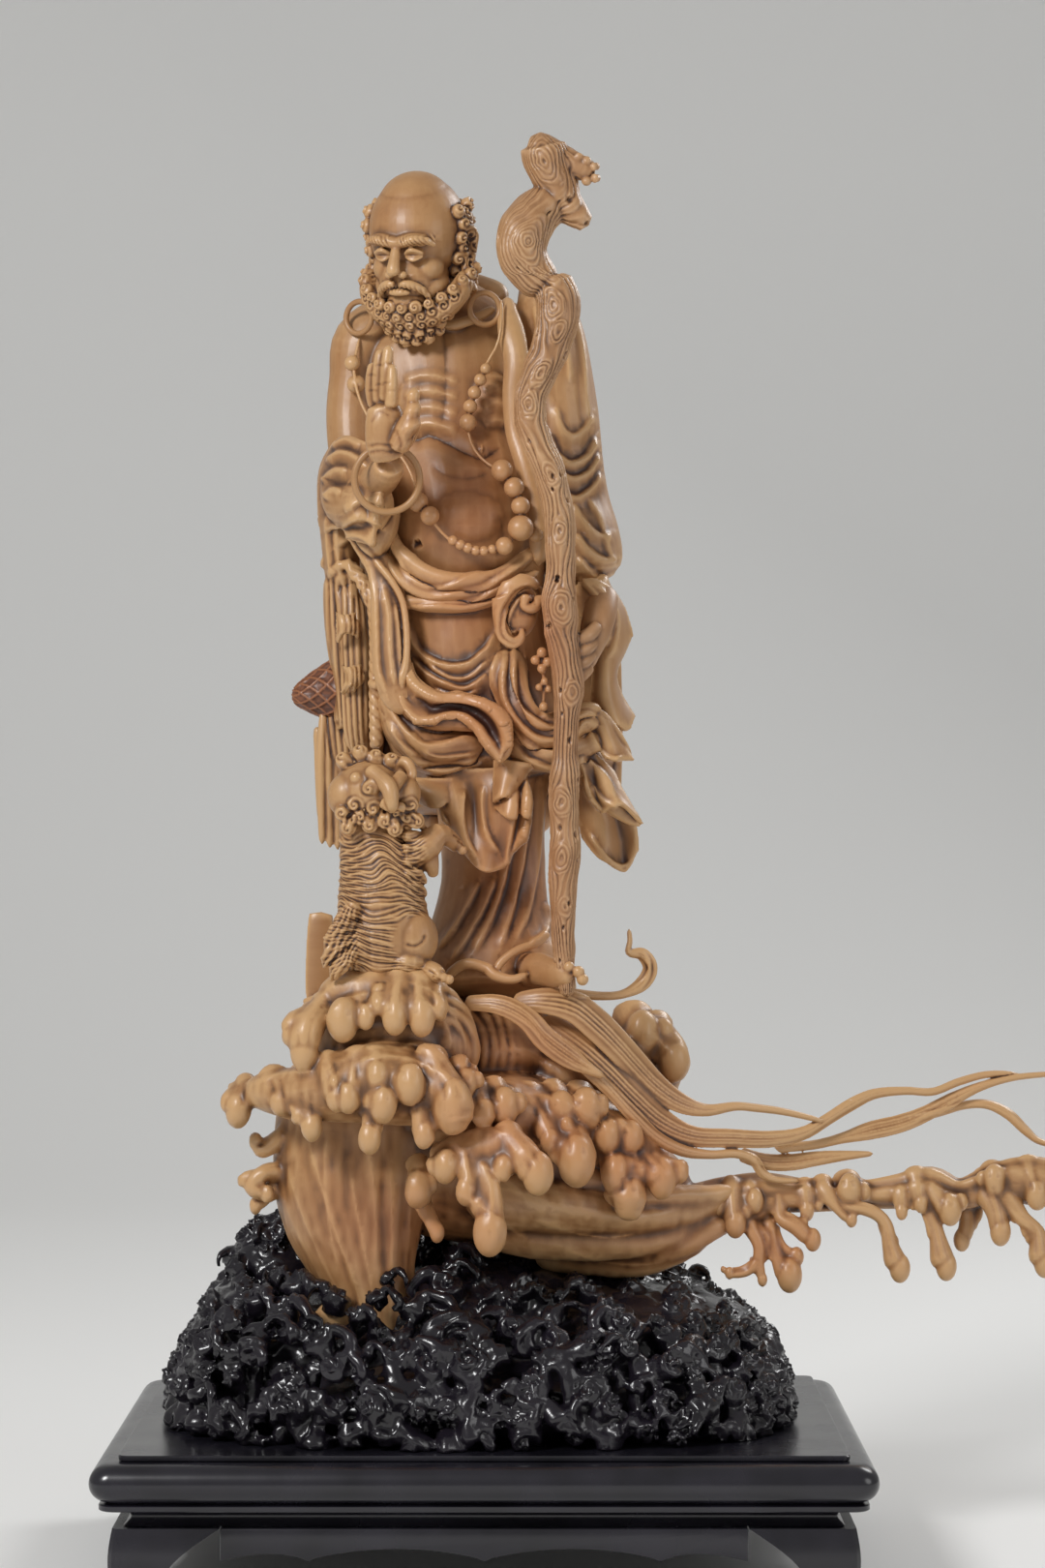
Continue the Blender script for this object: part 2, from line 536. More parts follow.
STAFF_PATH = (
    (12, 662, -52, 1.25), (18, 652, -54, 1.38), (18, 640, -56, 1.35), (14, 625, -58, 1.2),
    (8, 611, -60, 1.1), (4, 600, -60, 1.0), (4, 588, -60, 1.0), (8, 575, -60, 1.02),
    (13, 564, -60, 1.02), (16, 552, -60, 1.0), (19, 540, -60, 0.98), (20, 525, -60, 0.98),
    (20, 510, -60, 0.94), (19, 495, -60, 1.12), (20, 480, -60, 1.06), (22, 465, -60, 0.96),
    (24, 450, -60, 0.96), (23, 438, -60, 0.86), (22, 420, -58, 0.8), (22, 408, -58, 0.9),
    (21, 395, -58, 0.94), (22, 380, -58, 0.9), (22, 365, -58, 1.0), (21, 350, -58, 0.94),
    (21, 335, -58, 0.84), (21, 320, -58, 0.76), (22, 308, -57, 0.66), (23, 296, -56, 0.58),
    (23, 288, -55, 0.5),
)


def model_staff(forms):
    sweep(forms, [(x, z, y, STAFF_GIRTH * share) for x, z, y, share in STAFF_PATH], rings=60, sides=10,
          cap=0.02)
    bulb = [(20, 703, -44, 1.25), (9, 696, -46, 1.5), (1, 686, -50, 1.65), (0, 675, -52, 1.6),
            (5, 665, -52, 1.4), (14, 655, -53, 1.25)]
    sweep(forms, [(x, z, y, STAFF_GIRTH * share) for x, z, y, share in bulb], sides=12, rings=16)
    sweep(forms, [(20, 704, -44, 9.5), (27, 695, -45, 8), (32, 690, -46, 5)], sides=10)
    sweep(forms, [(19, 698, -44, 11), (18, 708, -44, 11), (14, 718, -44, 11.5), (12, 726, -44, 9)],
          sides=12)
    sweep(forms, [(-2, 726, -42, 5), (6, 725, -44, 8.5), (15, 724, -44, 8.5), (25, 719, -45, 5.5),
                  (33, 717, -45, 4.5), (38, 715, -45, 2.5)],
          sides=12)


def model_lion(forms):
    body = [(-74, 296, -50, 16), (-72, 310, -58, 23), (-72, 325, -60, 24.5), (-73, 340, -58, 22.5),
            (-73, 355, -55, 21.5), (-75, 368, -54, 20), (-78, 382, -54, 17), (-79, 395, -54, 15)]
    sweep(forms, body, flat=0.85, sides=14, rings=16, cap=0.08)
    blob(forms, -59, 322, -70, 13, 14, 13)
    blob(forms, -60, 308, -66, 12, 8, 14)
    sweep(forms, [(-87, 340, -72, 5), (-94, 330, -76, 8.5), (-97, 317, -76, 8.5), (-93, 307, -72, 6),
                  (-84, 304, -68, 3)], rings=12)
    blob(forms, -80, 396, -60, 18, 17, 18, sides=14, rings=10)
    blob(forms, -90, 394, -66, 9, 11, 9)
    blob(forms, -68, 396, -68, 10, 9, 11)
    sweep(forms, [(-76, 404, -72, 5), (-66, 400, -78, 5), (-61, 394, -80, 4)])
    for x, z, r in ((-92, 413, 4), (-84, 416, 4.5), (-76, 414, 4), (-68, 412, 5), (-63, 407, 4)):
        blob(forms, x, z, -62, r, sides=8, rings=6)
    for x, z in ((-90, 378), (-84, 383), (-77, 387), (-66, 385), (-60, 383), (-55, 383), (-58, 389),
                 (-93, 385)):
        blob(forms, x, z, -72, 4.2, sides=8, rings=6)
    sweep(forms, [(-60, 366, -62, 9), (-50, 368, -64, 8), (-43, 374, -62, 6), (-37, 371, -56, 4.5),
                  (-33, 367, -48, 4)])
    sweep(forms, [(-50, 366, -62, 7), (-47, 358, -60, 4), (-46, 352, -56, 2.5)])
    sweep(forms, [(-52, 304, -66, 6), (-46, 303, -74, 5), (-42, 300, -78, 4)])


# The wave: foot, column, crests with their drops, and the tail

DROPS = (
    # upper crest
    [(-104, 284, -70, 6), (-112, 272, -78, 8.5), (-113, 259, -80, 6.5)],
    [(-92, 284, -76, 5), (-93, 275, -82, 7.5)],
    [(-84, 286, -78, 5), (-81, 278, -84, 4.5)],
    [(-73, 296, -74, 4), (-74, 290, -80, 3.8)],
    [(-64, 296, -74, 7), (-66, 283, -84, 7.5), (-66, 277, -86, 6)],
    [(-54, 294, -74, 7), (-53, 283, -84, 7), (-52, 276, -86, 6)],
    [(-45, 292, -68, 5), (-43, 283, -76, 4)],
    [(-101, 286, -66, 4), (-103, 282, -70, 3.6)],
    # middle crest
    [(-144, 243, -44, 4.5), (-147, 234, -50, 6.5), (-147, 229, -50, 6)],
    [(-128, 244, -62, 7), (-125, 234, -70, 5)],
    [(-112, 238, -74, 6), (-110, 226, -80, 4), (-109, 221, -80, 5)],
    [(-100, 254, -80, 6), (-98, 246, -88, 6), (-96, 236, -92, 5)],
    [(-86, 256, -84, 6), (-88, 245, -92, 5), (-90, 236, -94, 5.5)],
    [(-76, 255, -88, 6), (-75, 247, -94, 5)],
    [(-72, 242, -92, 5), (-72, 232, -96, 6.5)],
    [(-80, 232, -90, 3), (-79, 222, -92, 4), (-79, 215, -92, 5.5)],
    [(-60, 250, -92, 5), (-58, 242, -96, 7)],
    [(-53, 234, -90, 4), (-53, 224, -92, 4), (-51, 217, -92, 5)],
    [(-46, 254, -84, 8), (-38, 240, -90, 9), (-36, 230, -92, 9.5)],
    [(-32, 252, -76, 5), (-29, 244, -80, 5)],
    [(-24, 240, -72, 5), (-20, 228, -78, 5)],
    [(-14, 240, -66, 6), (-9, 231, -72, 6.5)],
    # lower crest
    [(-38, 206, -80, 5), (-40, 200, -86, 6)],
    [(-30, 208, -84, 4.5), (-28, 194, -90, 4.5), (-29, 188, -90, 5)],
    [(-22, 204, -86, 4), (-16, 190, -92, 4.5), (-16, 176, -92, 6), (-17, 165, -92, 8)],
    [(-14, 206, -86, 4), (-10, 200, -90, 4.5)],
    [(-6, 216, -82, 7), (2, 206, -88, 8), (8, 196, -90, 7.5)],
    [(-54, 200, -66, 5), (-54, 188, -72, 6.5)],
    [(-50, 182, -60, 3), (-46, 172, -64, 3), (-44, 167, -64, 3.4)],
    # right crests
    [(4, 236, -50, 7), (12, 222, -60, 6), (14, 214, -64, 4.5)],
    [(16, 238, -46, 6), (20, 229, -56, 6.5)],
    [(30, 238, -44, 6), (33, 230, -54, 7)],
    [(24, 222, -54, 8), (28, 208, -62, 9.5), (28, 202, -64, 9)],
    [(40, 228, -40, 6), (44, 216, -50, 6)],
    [(54, 224, -36, 5), (56, 215, -46, 6)],
    [(46, 208, -44, 6), (48, 196, -50, 7)],
    [(58, 208, -42, 6), (60, 198, -48, 4)],
    [(62, 206, -38, 8), (70, 198, -44, 8), (72, 194, -44, 7)],
    [(54, 194, -44, 6), (55, 184, -48, 8)],
    # back crest behind the leaves
    [(58, 276, 22, 9), (62, 268, 12, 8)],
    [(70, 272, 20, 8), (78, 262, 14, 7), (79, 254, 12, 7)],
    [(-18, 270, -10, 5), (-18, 261, -18, 4.5)],
    [(-8, 270, -10, 6), (-5, 262, -18, 4.5), (-4, 256, -20, 4.5)],
    # left side
    [(-124, 218, -30, 5), (-134, 211, -34, 4), (-138, 214, -34, 3)],
    [(-124, 200, -30, 5), (-134, 199, -36, 4), (-139, 192, -36, 4.5), (-132, 187, -38, 3)],
    [(-130, 190, -30, 4), (-138, 181, -32, 3)],
    # tail
    [(101, 187, -10, 3), (101, 181, -14, 3.6)],
    [(108, 190, -10, 4.5), (109, 178, -15, 4.8), (110, 171, -16, 5)],
    [(118, 190, -10, 4), (120, 183, -14, 4.2)],
    [(117, 172, -12, 4), (122, 162, -14, 3), (122, 152, -14, 2.8), (124, 143, -14, 2.4)],
    [(122, 154, -14, 2.8), (116, 148, -14, 2.2), (107, 146.5, -14, 2.2)],
    [(128, 170, -10, 3), (131, 157, -12, 3), (135, 149, -12, 5), (138, 144, -12, 6)],
    [(132, 186, -8, 4), (134, 176, -12, 3.6), (142, 171, -14, 4.2), (150, 163, -14, 4)],
    [(146, 188, -6, 5), (147, 178, -10, 3.6)],
    [(156, 191, -6, 4.5), (162, 182, -11, 3), (170, 174, -12, 2.8)],
    [(168, 192, -4, 6), (169, 188, -8, 6)],
    [(163, 182, -10, 3), (178, 180, -12, 3.2), (187, 174, -12, 3.2), (190, 162, -12, 4),
     (193, 152, -12, 6), (195, 148, -12, 5)],
    [(196, 188, -6, 5), (196, 178, -10, 3)],
    [(204, 193, -6, 5.5), (206, 182, -10, 3.4)],
    [(211, 192, -6, 4.5), (217, 183, -10, 4.8), (221, 178, -11, 5.5)],
    [(210, 184, -6, 3.6), (214, 168, -10, 3.8), (217, 154, -11, 6), (219, 149, -11, 5)],
    [(228, 186, 4, 5), (230, 174, 4, 4), (227, 163, 4, 4)],
    [(243, 198, -4, 5), (244, 193, -9, 5.6)],
    [(240, 190, -4, 6.5), (245, 178, -10, 5), (247, 167, -11, 5)],
    [(250, 186, -6, 6), (258, 176, -11, 4), (266, 168, -12, 4), (268, 155, -12, 6.4),
     (270, 151, -12, 5.4)],
    [(262, 198, -6, 6), (266, 186, -10, 5.4)],
    [(280, 190, 0, 6), (284, 176, -4, 4.4), (284, 166, -4, 5)],
    [(291, 186, 0, 5), (295, 178, -2, 3.4)],
)


COLUMN = (
    (-78, 100, -34, 22), (-78, 126, -33, 22), (-80, 140, -31, 24), (-83, 155, -28, 29),
    (-86, 172, -24, 36), (-87, 190, -20, 41), (-86, 210, -16, 43), (-82, 232, -14, 44),
    (-78, 250, -12, 40),
)
CORE = ((-70, 214, 4, 38), (-35, 206, 6, 42), (0, 204, 6, 42), (35, 200, 6, 36), (60, 192, 4, 26),
        (85, 180, 0, 16))
LOW_SHEET = ((10, 168, -8, 14), (38, 163, -12, 12), (62, 160, -16, 9), (82, 162, -16, 7),
             (98, 170, -14, 6), (110, 174, -10, 4))
FOOT_FOAM = ((-118, 116, 6), (-110, 120, 7), (-104, 114, 7), (-98, 124, 9))


def model_wave(forms, grow=0.0):
    """The whole wave; grow makes every form of it stouter, in millimetres."""

    def limb(path, **more):
        sweep(forms, [(x, z, y, r + grow) for x, z, y, r in path], **more)

    def ball(x, z, y, rx, rz, ry, **more):
        blob(forms, x, z, y, rx + grow, rz + grow, ry + grow, **more)

    limb(COLUMN, flat=0.9, sides=18, rings=18, cap=0.03)
    for x, z, r in FOOT_FOAM:
        ball(x, z, -52, r, r, r, sides=8, rings=6)
    limb(CORE, flat=1.15, sides=16, rings=18, cap=0.08)
    ball(-70, 264, -34, 45, 38, 44, sides=18, rings=14)
    ball(-20, 262, 4, 42, 30, 48, sides=16, rings=12)
    ball(30, 245, 10, 46, 34, 46, tilt=32, sides=16, rings=12)
    ball(-20, 230, -30, 46, 22, 40, sides=16, rings=10)
    middle = [(-146, 238, -42, 6), (-134, 241, -54, 10), (-117, 240, -64, 14), (-98, 243, -72, 18),
              (-75, 245, -76, 21), (-52, 242, -72, 19), (-32, 237, -62, 14), (-12, 234, -52, 11),
              (4, 232, -40, 9)]
    limb(middle, rings=22, sides=12)
    limb([(-48, 203, -70, 8), (-30, 209, -76, 11), (-12, 210, -78, 12), (2, 203, -78, 9)], sides=10)
    limb([(-10, 226, -44, 12), (12, 226, -42, 16), (36, 222, -36, 17), (58, 208, -32, 15),
          (70, 198, -30, 10)], sides=12)
    tail = [(48, 178, 0, 22), (68, 178, 0, 19), (88, 178, -1, 16), (105, 184, -1, 13),
            (125, 188, -1, 11), (150, 187, 0, 8), (175, 188, 0, 7), (195, 190, 0, 9),
            (210, 193, 0, 10), (225, 188, 0, 8), (240, 192, 0, 9.5), (255, 195, 0, 12),
            (270, 194, 0, 13), (284, 190, 0, 10), (296, 185, 0, 5)]
    limb(tail, sides=12, rings=40, cap=0.03)
    limb(LOW_SHEET, rings=18)
    limb([(52, 272, 24, 10), (64, 268, 24, 12), (75, 262, 22, 10), (70, 248, 22, 12),
          (60, 235, 20, 16)], sides=12)
    for drop in DROPS:
        limb([(x, z, y, r * DROP_FULLNESS) for x, z, y, r in drop], sides=10, cap=0.2)


# Reed leaves: long blades that stream from under the monk's feet

LEAVES = (
    [(-6, 287, -48, 5), (10, 288, -52, 7), (26, 285, -51, 8.5), (39, 275, -47, 9),
     (50, 264, -43, 8.5), (60, 253, -38, 8), (70, 243, -34, 7), (82, 235, -30, 5.5),
     (95, 231.5, -26, 3.4), (110, 233.5, -22, 2.4), (122, 232.5, -18, 2.2), (136, 230.5, -14, 1.9),
     (155, 226, -10, 1.3)],
    [(24, 292, -34, 3), (40, 290.5, -30, 2.4), (52, 291.5, -27, 2.4), (62, 297, -25, 4),
     (66, 305, -25, 4), (62, 312, -26, 3.6), (55, 313, -27, 2), (55.5, 319, -26, 1.4),
     (55, 325, -25, 1.1)],
    [(8, 279, -42, 6), (28, 265, -46, 9), (44, 251, -44, 9.5), (58, 237, -40, 9), (72, 225, -34, 7.5),
     (88, 218, -28, 5.5), (108, 217, -22, 5), (128, 216.5, -16, 4.5), (145, 219.5, -11, 3.6),
     (158, 227, -7, 3.2), (170, 234.5, -3, 3.4), (182, 240, 0, 2.8), (198, 241.5, 2, 2.2),
     (212, 241, 4, 2.1), (225, 246, 6, 2.1), (240, 250, 8, 1.8), (256, 250.5, 10, 1.3)],
    [(-30, 287, -52, 4), (-12, 286, -58, 5.5), (2, 279, -60, 6), (12, 268, -59, 6.5),
     (24, 259, -57, 6), (34, 253, -55, 3.4), (42, 249, -53, 1.3)],
    [(30, 256, -50, 4), (44, 243, -48, 4), (58, 228, -44, 4), (70, 217, -38, 3.6),
     (83, 210.5, -32, 3.2), (97, 208.5, -26, 2.4), (110, 209, -22, 2.4), (119, 206, -18, 2.8),
     (124, 199, -16, 2.8), (131, 195.5, -14, 1.9), (143, 195, -12, 1.2)],
    [(112, 209, -10, 4), (125, 205, -8, 4.5), (138, 204.5, -6, 4.6), (152, 206.5, -4, 4),
     (166, 208, -2, 2.8), (181, 209, 0, 1.2)],
    [(130, 212, -6, 3), (150, 213.5, -1, 2.6), (165, 217, 2, 3), (180, 221, 4, 5), (195, 224.5, 5, 5),
     (208, 229.5, 6, 4.4), (222, 237, 7, 3.8), (236, 243.5, 8, 2.6), (252, 248, 9, 1.8),
     (270, 250, 10, 1.3), (284, 251, 10, 1.1)],
    [(200, 227, 6, 2.6), (214, 230, 9, 2.4), (228, 234, 11, 2.3), (240, 234.5, 12, 2.6),
     (251, 229.5, 12, 3), (260, 221, 12, 2.6), (268, 215, 12, 1.6), (284, 212, 12, 1.1)],
    [(-84, 284, -20, 4), (-100, 288, -24, 4), (-109, 289.5, -22, 4.5), (-110, 300, -16, 5.6),
     (-108, 318, -12, 5.8), (-106, 334, -10, 5.6)],
)


def model_leaves(forms):
    for leaf in LEAVES:
        path = [(x, z, y, r, max(0.5 * LEAF_THICKNESS / r, 0.36)) for x, z, y, r in leaf]
        sweep(forms, path, sides=10, rings=36, cap=0.03, turn=18)


# Folds and grooves that are cut into the skin: points, half width, height, nearest and furthest depth

def carving_lines():
    robe = (-60, 30)
    folds = [
        ([(-68, 545), (-67, 530), (-60, 515), (-48, 507), (-32, 505), (-15, 508), (0, 514), (8, 520)],
         4.0, 3.0),
        ([(-73, 528), (-68, 516), (-60, 506), (-48, 501), (-30, 500), (-12, 503), (5, 509)], 3.6, 3.0),
        ([(-62, 496), (-40, 494), (-20, 497), (-5, 504), (8, 514)], 3.2, 2.4),
        ([(-58, 480), (-52, 469), (-42, 464), (-33, 461), (-25, 464), (-18, 470), (-15, 478)], 3.4,
         3.2),
        ([(-58, 470), (-50, 460), (-38, 454), (-28, 453), (-20, 458), (-15, 468)], 3.2, 3.0),
        ([(-62, 500), (-61, 480), (-60, 465), (-57, 452), (-50, 445), (-40, 441), (-30, 443),
          (-20, 441), (-12, 434), (-8, 425)], 3.6, 3.6),
        ([(-73, 470), (-68, 448), (-60, 434), (-50, 430), (-38, 433), (-28, 434)], 3.6, 3.2),
        ([(-72, 452), (-65, 432), (-52, 421), (-38, 421), (-24, 425)], 3.6, 3.2),
        ([(-70, 436), (-62, 420), (-52, 411), (-40, 409), (-30, 412)], 3.4, 3.0),
        ([(-14, 472), (-13, 455), (-8, 438), (2, 425), (15, 421), (27, 425), (34, 431)], 3.4, 3.2),
        ([(-8, 470), (-7, 455), (-2, 440), (7, 431), (18, 430), (28, 435), (38, 436)], 3.0, 3.0),
        ([(-6, 424), (2, 415), (14, 411), (26, 412), (36, 408), (40, 400)], 3.4, 3.0),
        ([(2, 400), (0, 375), (-4, 350), (-10, 325), (-14, 308)], 4.0, 3.0),
        ([(10, 400), (9, 370), (8, 345), (9, 330), (14, 324)], 4.0, 2.4),
        ([(-24, 350), (-26, 330), (-30, 314)], 4.0, 2.4),
        ([(36, 600), (37, 580), (33, 568), (25, 566), (17, 572)], 3.6, 2.6),
        ([(41, 575), (38, 560), (30, 556), (22, 560)], 3.6, 2.6),
        ([(44, 545), (38, 532), (30, 522)], 4.0, 2.6),
        ([(50, 516), (40, 511), (30, 504)], 3.6, 3.0),
    ]
    skin = [
        ([(-54, 586), (-46, 587), (-38, 585)], 3.0, 1.6),
        ([(-54, 596), (-45, 597), (-36, 595)], 3.0, 1.6),
        ([(-54, 606), (-45, 607), (-36, 605)], 3.0, 1.6),
        ([(-60, 572), (-48, 577), (-34, 570), (-20, 568), (-8, 574)], 4.0, -3.0),
        ([(-24, 552), (-24, 530)], 3.0, -1.2),
    ]
    return [(points, width, height, *robe) for points, width, height in folds + skin]


BACK_FLOW = (
    [(-110, 262), (-80, 278), (-48, 276), (-30, 262)], [(-112, 246), (-84, 258), (-56, 256), (-36, 244)],
    [(-34, 280), (-14, 284), (6, 276), (18, 258)], [(-30, 266), (-12, 268), (4, 260), (12, 246)],
    [(8, 268), (34, 264), (56, 248), (68, 228)], [(6, 250), (30, 248), (50, 234), (62, 214)],
    [(-100, 212), (-60, 222), (-20, 214), (30, 202), (80, 190)],
    [(-92, 190), (-50, 200), (0, 192), (40, 186), (84, 176)],
    [(-104, 160), (-108, 190), (-112, 220)], [(-86, 130), (-88, 160), (-90, 190)],
    [(-72, 130), (-66, 160), (-60, 184)],
)


def back_lines():
    """On the back: folds of the robe, close at the shoulders and spread at the hem, and the wave's flow."""
    lines = [(points, BACK_FOLD_WIDTH, FLOW_HEIGHT, 0, 80) for points in BACK_FLOW]
    for k in range(BACK_FOLDS):
        share = (k + 0.5) / BACK_FOLDS - 0.5
        swing = 4 * math.sin(2.2 * k)
        points = [(-38 + 56 * share, 632), (-36 + 84 * share, 570), (-32 + 104 * share + swing, 500),
                  (-29 + 112 * share - swing, 440), (-26 + 110 * share, 384)]
        lines.append((points, BACK_FOLD_WIDTH, BACK_FOLD_HEIGHT, 0, 80))
    return lines


def model_carving(finish):
    forms = []
    model_head(forms)
    model_body(forms)
    model_necklace(forms)
    model_robe(forms)
    model_staff(forms)
    model_lion(forms)
    model_wave(forms)
    model_leaves(forms)
    carving = fused("carving", forms, CARVING_VOXEL, SMOOTH_PASSES)
    press_lines(carving, carving_lines())
    press_lines(carving, back_lines(), side=1)
    thinned(carving, CARVING_TRIANGLES, FINE_PLACES)
    drawn_in(carving)
    flat_cut(carving, PLINTH_HEIGHT + SEAT_RISE + PIECE_GAP)
    largest_island(carving)
    finish_with(carving, finish)
    return carving


def flat_cut(item, height):
    """Cuts the piece off flat at a height, in metres, and closes the cut."""
    bm = bmesh.new()
    bm.from_mesh(item.data)
    everything = bm.verts[:] + bm.edges[:] + bm.faces[:]
    cut = bmesh.ops.bisect_plane(
        bm, geom=everything, dist=1e-7, plane_co=(0, 0, height), plane_no=(0, 0, -1), clear_outer=True
    )
    rim = [edge for edge in cut["geom_cut"] if isinstance(edge, bmesh.types.BMEdge)]
    bmesh.ops.holes_fill(bm, edges=rim)
    bmesh.ops.triangulate(bm, faces=bm.faces)
    bmesh.ops.recalc_face_normals(bm, faces=bm.faces)
    bm.to_mesh(item.data)
    bm.free()


def finish_with(item, finish):
    item.data.materials.clear()
    item.data.materials.append(finish)
    item.data.shade_smooth()
    item.data.set_sharp_from_angle(angle=math.radians(35))


def cut_clear(item, cutter, solver="EXACT"):
    """Cuts the cutter's shape out of the item, and removes the cutter."""
    away = item.modifiers.new("Clear", "BOOLEAN")
    away.operation = "DIFFERENCE"
    away.solver = solver
    away.object = cutter
    apply_modifiers(item)
    bpy.data.objects.remove(cutter, do_unlink=True)


# Loose rings: the bracelet and the two earrings

def ring(name, centre, radius, wire, tilt, turn, around, sides):
    """A closed ring facing the front, tilted back and turned about the vertical, in metres."""
    bm = bmesh.new()
    place = (
        Matrix.Translation(centre) @ Matrix.Rotation(turn, 4, "Z") @ Matrix.Rotation(tilt, 4, "X")
        @ Matrix.Rotation(math.pi / 2, 4, "X")
    )
    start = Matrix.Translation((radius, 0, 0)) @ Matrix.Rotation(math.pi / 2, 4, "X")
    loop = bmesh.ops.create_circle(bm, segments=sides, radius=wire, matrix=start)["verts"]
    edges = list({edge for vert in loop for edge in vert.link_edges})
    bmesh.ops.spin(
        bm, geom=loop + edges, axis=(0, 0, 1), cent=(0, 0, 0), angle=2 * math.pi, steps=around,
        use_merge=True,
    )
    bmesh.ops.transform(bm, matrix=place, verts=bm.verts)
    bmesh.ops.recalc_face_normals(bm, faces=bm.faces)
    mesh = bpy.data.meshes.new(name)
    bm.to_mesh(mesh)
    bm.free()
    return new_item(name, mesh)


def seen_at(x, z, y):
    """The real place, in metres, of a point of the layout."""
    near = 1 + y / EYE_DISTANCE
    height = EYE_HEIGHT + (z - EYE_HEIGHT) * near - LAYOUT_PLINTH
    return Vector((x * near * MM, y * MM, height * MM + PLINTH_HEIGHT))


def model_rings(carving, finish):
    rings = (
        ("bracelet", seen_at(-70, 557.4, -72), BRACELET_RADIUS, BRACELET_WIRE, 0.10, 0.10, 24, 6),
        ("earring_left", seen_at(-19.5, 645.5, -24), EARRING_RADIUS, EARRING_WIRE, 0.0, 0.35, 16, 6),
        ("earring_right", seen_at(-84.5, 641, -14), EARRING_RADIUS, EARRING_WIRE, 0.0, -0.60, 16, 6),
    )
    for name, centre, radius, wire, tilt, turn, around, sides in rings:
        cutter = ring(name + "_room", centre, radius, wire + PIECE_GAP * 1.3, tilt, turn, around, sides)
        cut_clear(carving, cutter)
        loose = ring(name, centre, radius, wire, tilt, turn, around, sides)
        finish_with(loose, finish)


# The rock base, in millimetres at its real size, with its foot at the height of the plinth

def rock_forms(forms):
    w, d, h = ROCK_WIDTH / MM / 2, ROCK_DEPTH / MM / 2, ROCK_HEIGHT / MM
    mid, low = ROCK_CENTRE / MM, PLINTH_HEIGHT / MM
    rng = np.random.default_rng(ROCK_SEED)
    for right, rise, back, rx, rz, ry in ROCK_MASSES:
        blob(forms, mid + right * w, low + rise * h, back * d, rx * w, rz * h, ry * d, sides=20,
             rings=12)
    for rise, spread, count in ROCK_TIERS:
        for k in range(count):
            angle = 2 * math.pi * (k + rng.uniform(-0.3, 0.3)) / count
            c, s = math.cos(angle), math.sin(angle)
            squarer = (abs(c) ** ROCK_SQUARENESS + abs(s) ** ROCK_SQUARENESS) ** (-1 / ROCK_SQUARENESS)
            r = ROCK_LUMP / MM * rng.uniform(0.7, 1.3)
            taller = 1 + 0.25 * max(0.0, -c)
            x = mid + (spread * w - 0.6 * r) * squarer * c
            y = (spread * d - 0.6 * r) * squarer * s
            z = low + rise * h * taller + rng.uniform(-0.05, 0.05) * h
            blob(forms, x, z, y, r, r * rng.uniform(0.7, 1.1), r, tilt=rng.uniform(-30, 30), sides=10,
                 rings=7)
    for k in range(ROCK_STREAMS):
        angle = 2 * math.pi * (k + 0.5) / ROCK_STREAMS
        c, s = math.cos(angle), math.sin(angle)
        run = [(0.66, 0.62, 5), (0.90, 0.44, 6), (0.93, 0.22, 7), (1.0, 0.02, 10)]
        sweep(forms, [(mid + out * w * c, low + rise * h, out * d * s, r) for out, rise, r in run])


def model_rock(finish):
    forms = []
    rock_forms(forms)
    rock = fused("rock_base", forms, ROCK_VOXEL, 1)
    thinned(rock, ROCK_TRIANGLES)
    rock.data.transform(Matrix.Scale(MM, 4))
    room_forms = []
    model_wave(room_forms, grow=SEAT_CLEARANCE / MM)
    reach = (PLINTH_HEIGHT + 1.2 * ROCK_HEIGHT) / MM
    room_forms = [form for form in room_forms if form[0][:, 2].min() < reach]
    room = fused("wave_room", room_forms, ROCK_VOXEL, 0)
    thinned(room, ROOM_TRIANGLES)
    drawn_in(room)
    flat_cut(room, PLINTH_HEIGHT + SEAT_RISE)
    cut_clear(rock, room, solver="MANIFOLD")
    flat_cut(rock, PLINTH_HEIGHT + PIECE_GAP)
    largest_island(rock)
    finish_with(rock, finish)
    return rock


# The plinth: boards whose edges are mouldings carried round a rectangle with rounded corners

def rounded_loop(bm, half_width, half_depth, radius, height, corner_steps=3):
    spots = []
    for quarter in range(4):
        sx, sy = ((1, 1), (-1, 1), (-1, -1), (1, -1))[quarter]
        for k in range(corner_steps + 1):
            angle = math.pi / 2 * (quarter + k / corner_steps)
            spots.append((
                sx * (half_width - radius) + radius * math.cos(angle),
                sy * (half_depth - radius) + radius * math.sin(angle),
                height,
            ))
    verts = [bm.verts.new(spot) for spot in spots]
    return [bm.edges.new((a, b)) for a, b in zip(verts, verts[1:] + verts[:1])]


def moulded_board(name, profile, finish):
    """A board whose edge follows profile, rows of (inset, height) from the bottom up."""
    bm = bmesh.new()
    loops = [
        rounded_loop(bm, BOARD_WIDTH / 2 - inset, BOARD_DEPTH / 2 - inset,
                     max(BOARD_CORNER - 0.4 * inset, 0.001), height)
        for inset, height in profile
    ]
    for low, high in zip(loops, loops[1:]):
        bmesh.ops.bridge_loops(bm, edges=low + high)
    bmesh.ops.contextual_create(bm, geom=loops[0])
    bmesh.ops.contextual_create(bm, geom=loops[-1])
    return closed_item(name, bm, finish)


def closed_item(name, bm, finish):
    bmesh.ops.triangulate(bm, faces=bm.faces)
    bmesh.ops.recalc_face_normals(bm, faces=bm.faces)
    mesh = bpy.data.meshes.new(name)
    bm.to_mesh(mesh)
    bm.free()
    item = new_item(name, mesh)
    item.location.x = PLINTH_CENTRE
    finish_with(item, finish)
    return item


